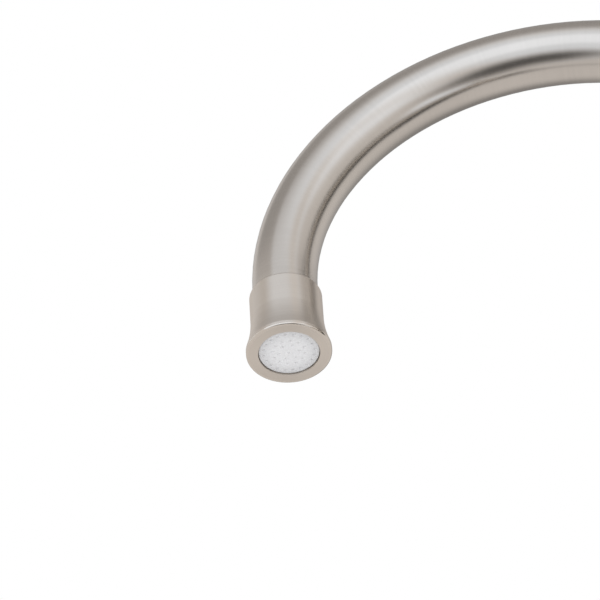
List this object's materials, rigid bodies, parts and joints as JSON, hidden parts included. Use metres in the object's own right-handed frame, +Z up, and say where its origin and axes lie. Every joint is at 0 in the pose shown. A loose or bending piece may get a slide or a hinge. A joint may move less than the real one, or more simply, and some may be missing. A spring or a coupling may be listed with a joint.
{
  "type": "instant hot water faucet",
  "caption": "Gooseneck instant hot water faucet: a swivelling bent spout with a flared outlet and spray insert, on a turned column with a side lever.",
  "frame": {"origin": "on the column's axis, in the plane of the deck that the base seal lies on", "axes": "+Z up from the deck, -Y towards the spout's outlet at rest, +X towards the lever"},
  "size_m": [0.0786, 0.2033, 0.3815],
  "materials": {
    "satin_nickel": "brushed satin nickel plate",
    "brass": "turned",
    "copper": "drawn copper tube",
    "stainless_steel": "rolled",
    "rubber": "moulded, matt",
    "white_plastic": "moulded",
    "ceramic": "ground and lapped ceramic",
    "insert_plastic": "translucent, moulded",
    "red_plastic": "moulded"
  },
  "bodies": {
    "body": {"faucet_body": "satin_nickel", "base_flange": "satin_nickel", "base_seal": "rubber", "mounting_shank": "brass", "clamp_gasket": "rubber", "clamp_washer": "stainless_steel", "mounting_nut": "brass", "cold_inlet_tube": "copper", "tank_feed_tube": "copper", "hot_return_tube": "copper", "valve_seal": "rubber", "fixed_disc": "ceramic", "valve_cartridge": "brass", "cartridge_o_ring": "rubber", "bonnet_nut": "brass", "spout_nut": "satin_nickel", "glide_rings": "white_plastic"},
    "spout": {"spout_ferrule": "brass", "spout_o_rings": "rubber", "spout_tube": "satin_nickel", "outlet_housing": "satin_nickel", "outlet_gasket": "rubber", "flow_cartridge": "white_plastic", "inlet_screen": "stainless_steel", "flow_straightener": "white_plastic", "spray_insert": "insert_plastic"},
    "handle": {"moving_disc": "ceramic", "valve_stem": "brass", "stem_o_ring": "rubber", "handle_hub": "satin_nickel", "lever": "satin_nickel", "set_screw": "stainless_steel", "index_button": "red_plastic"}
  },
  "joints": [
    {"name": "spout_swivel", "type": "hinge", "parent": "body", "child": "spout", "pos_m": [0, 0, 0.08], "axis": [0, 0, 1], "continuous": true},
    {"name": "handle_turn", "type": "hinge", "parent": "body", "child": "handle", "pos_m": [0.04, 0, 0.04], "axis": [1, 0, 0], "range_deg": [0, 90]}
  ]
}
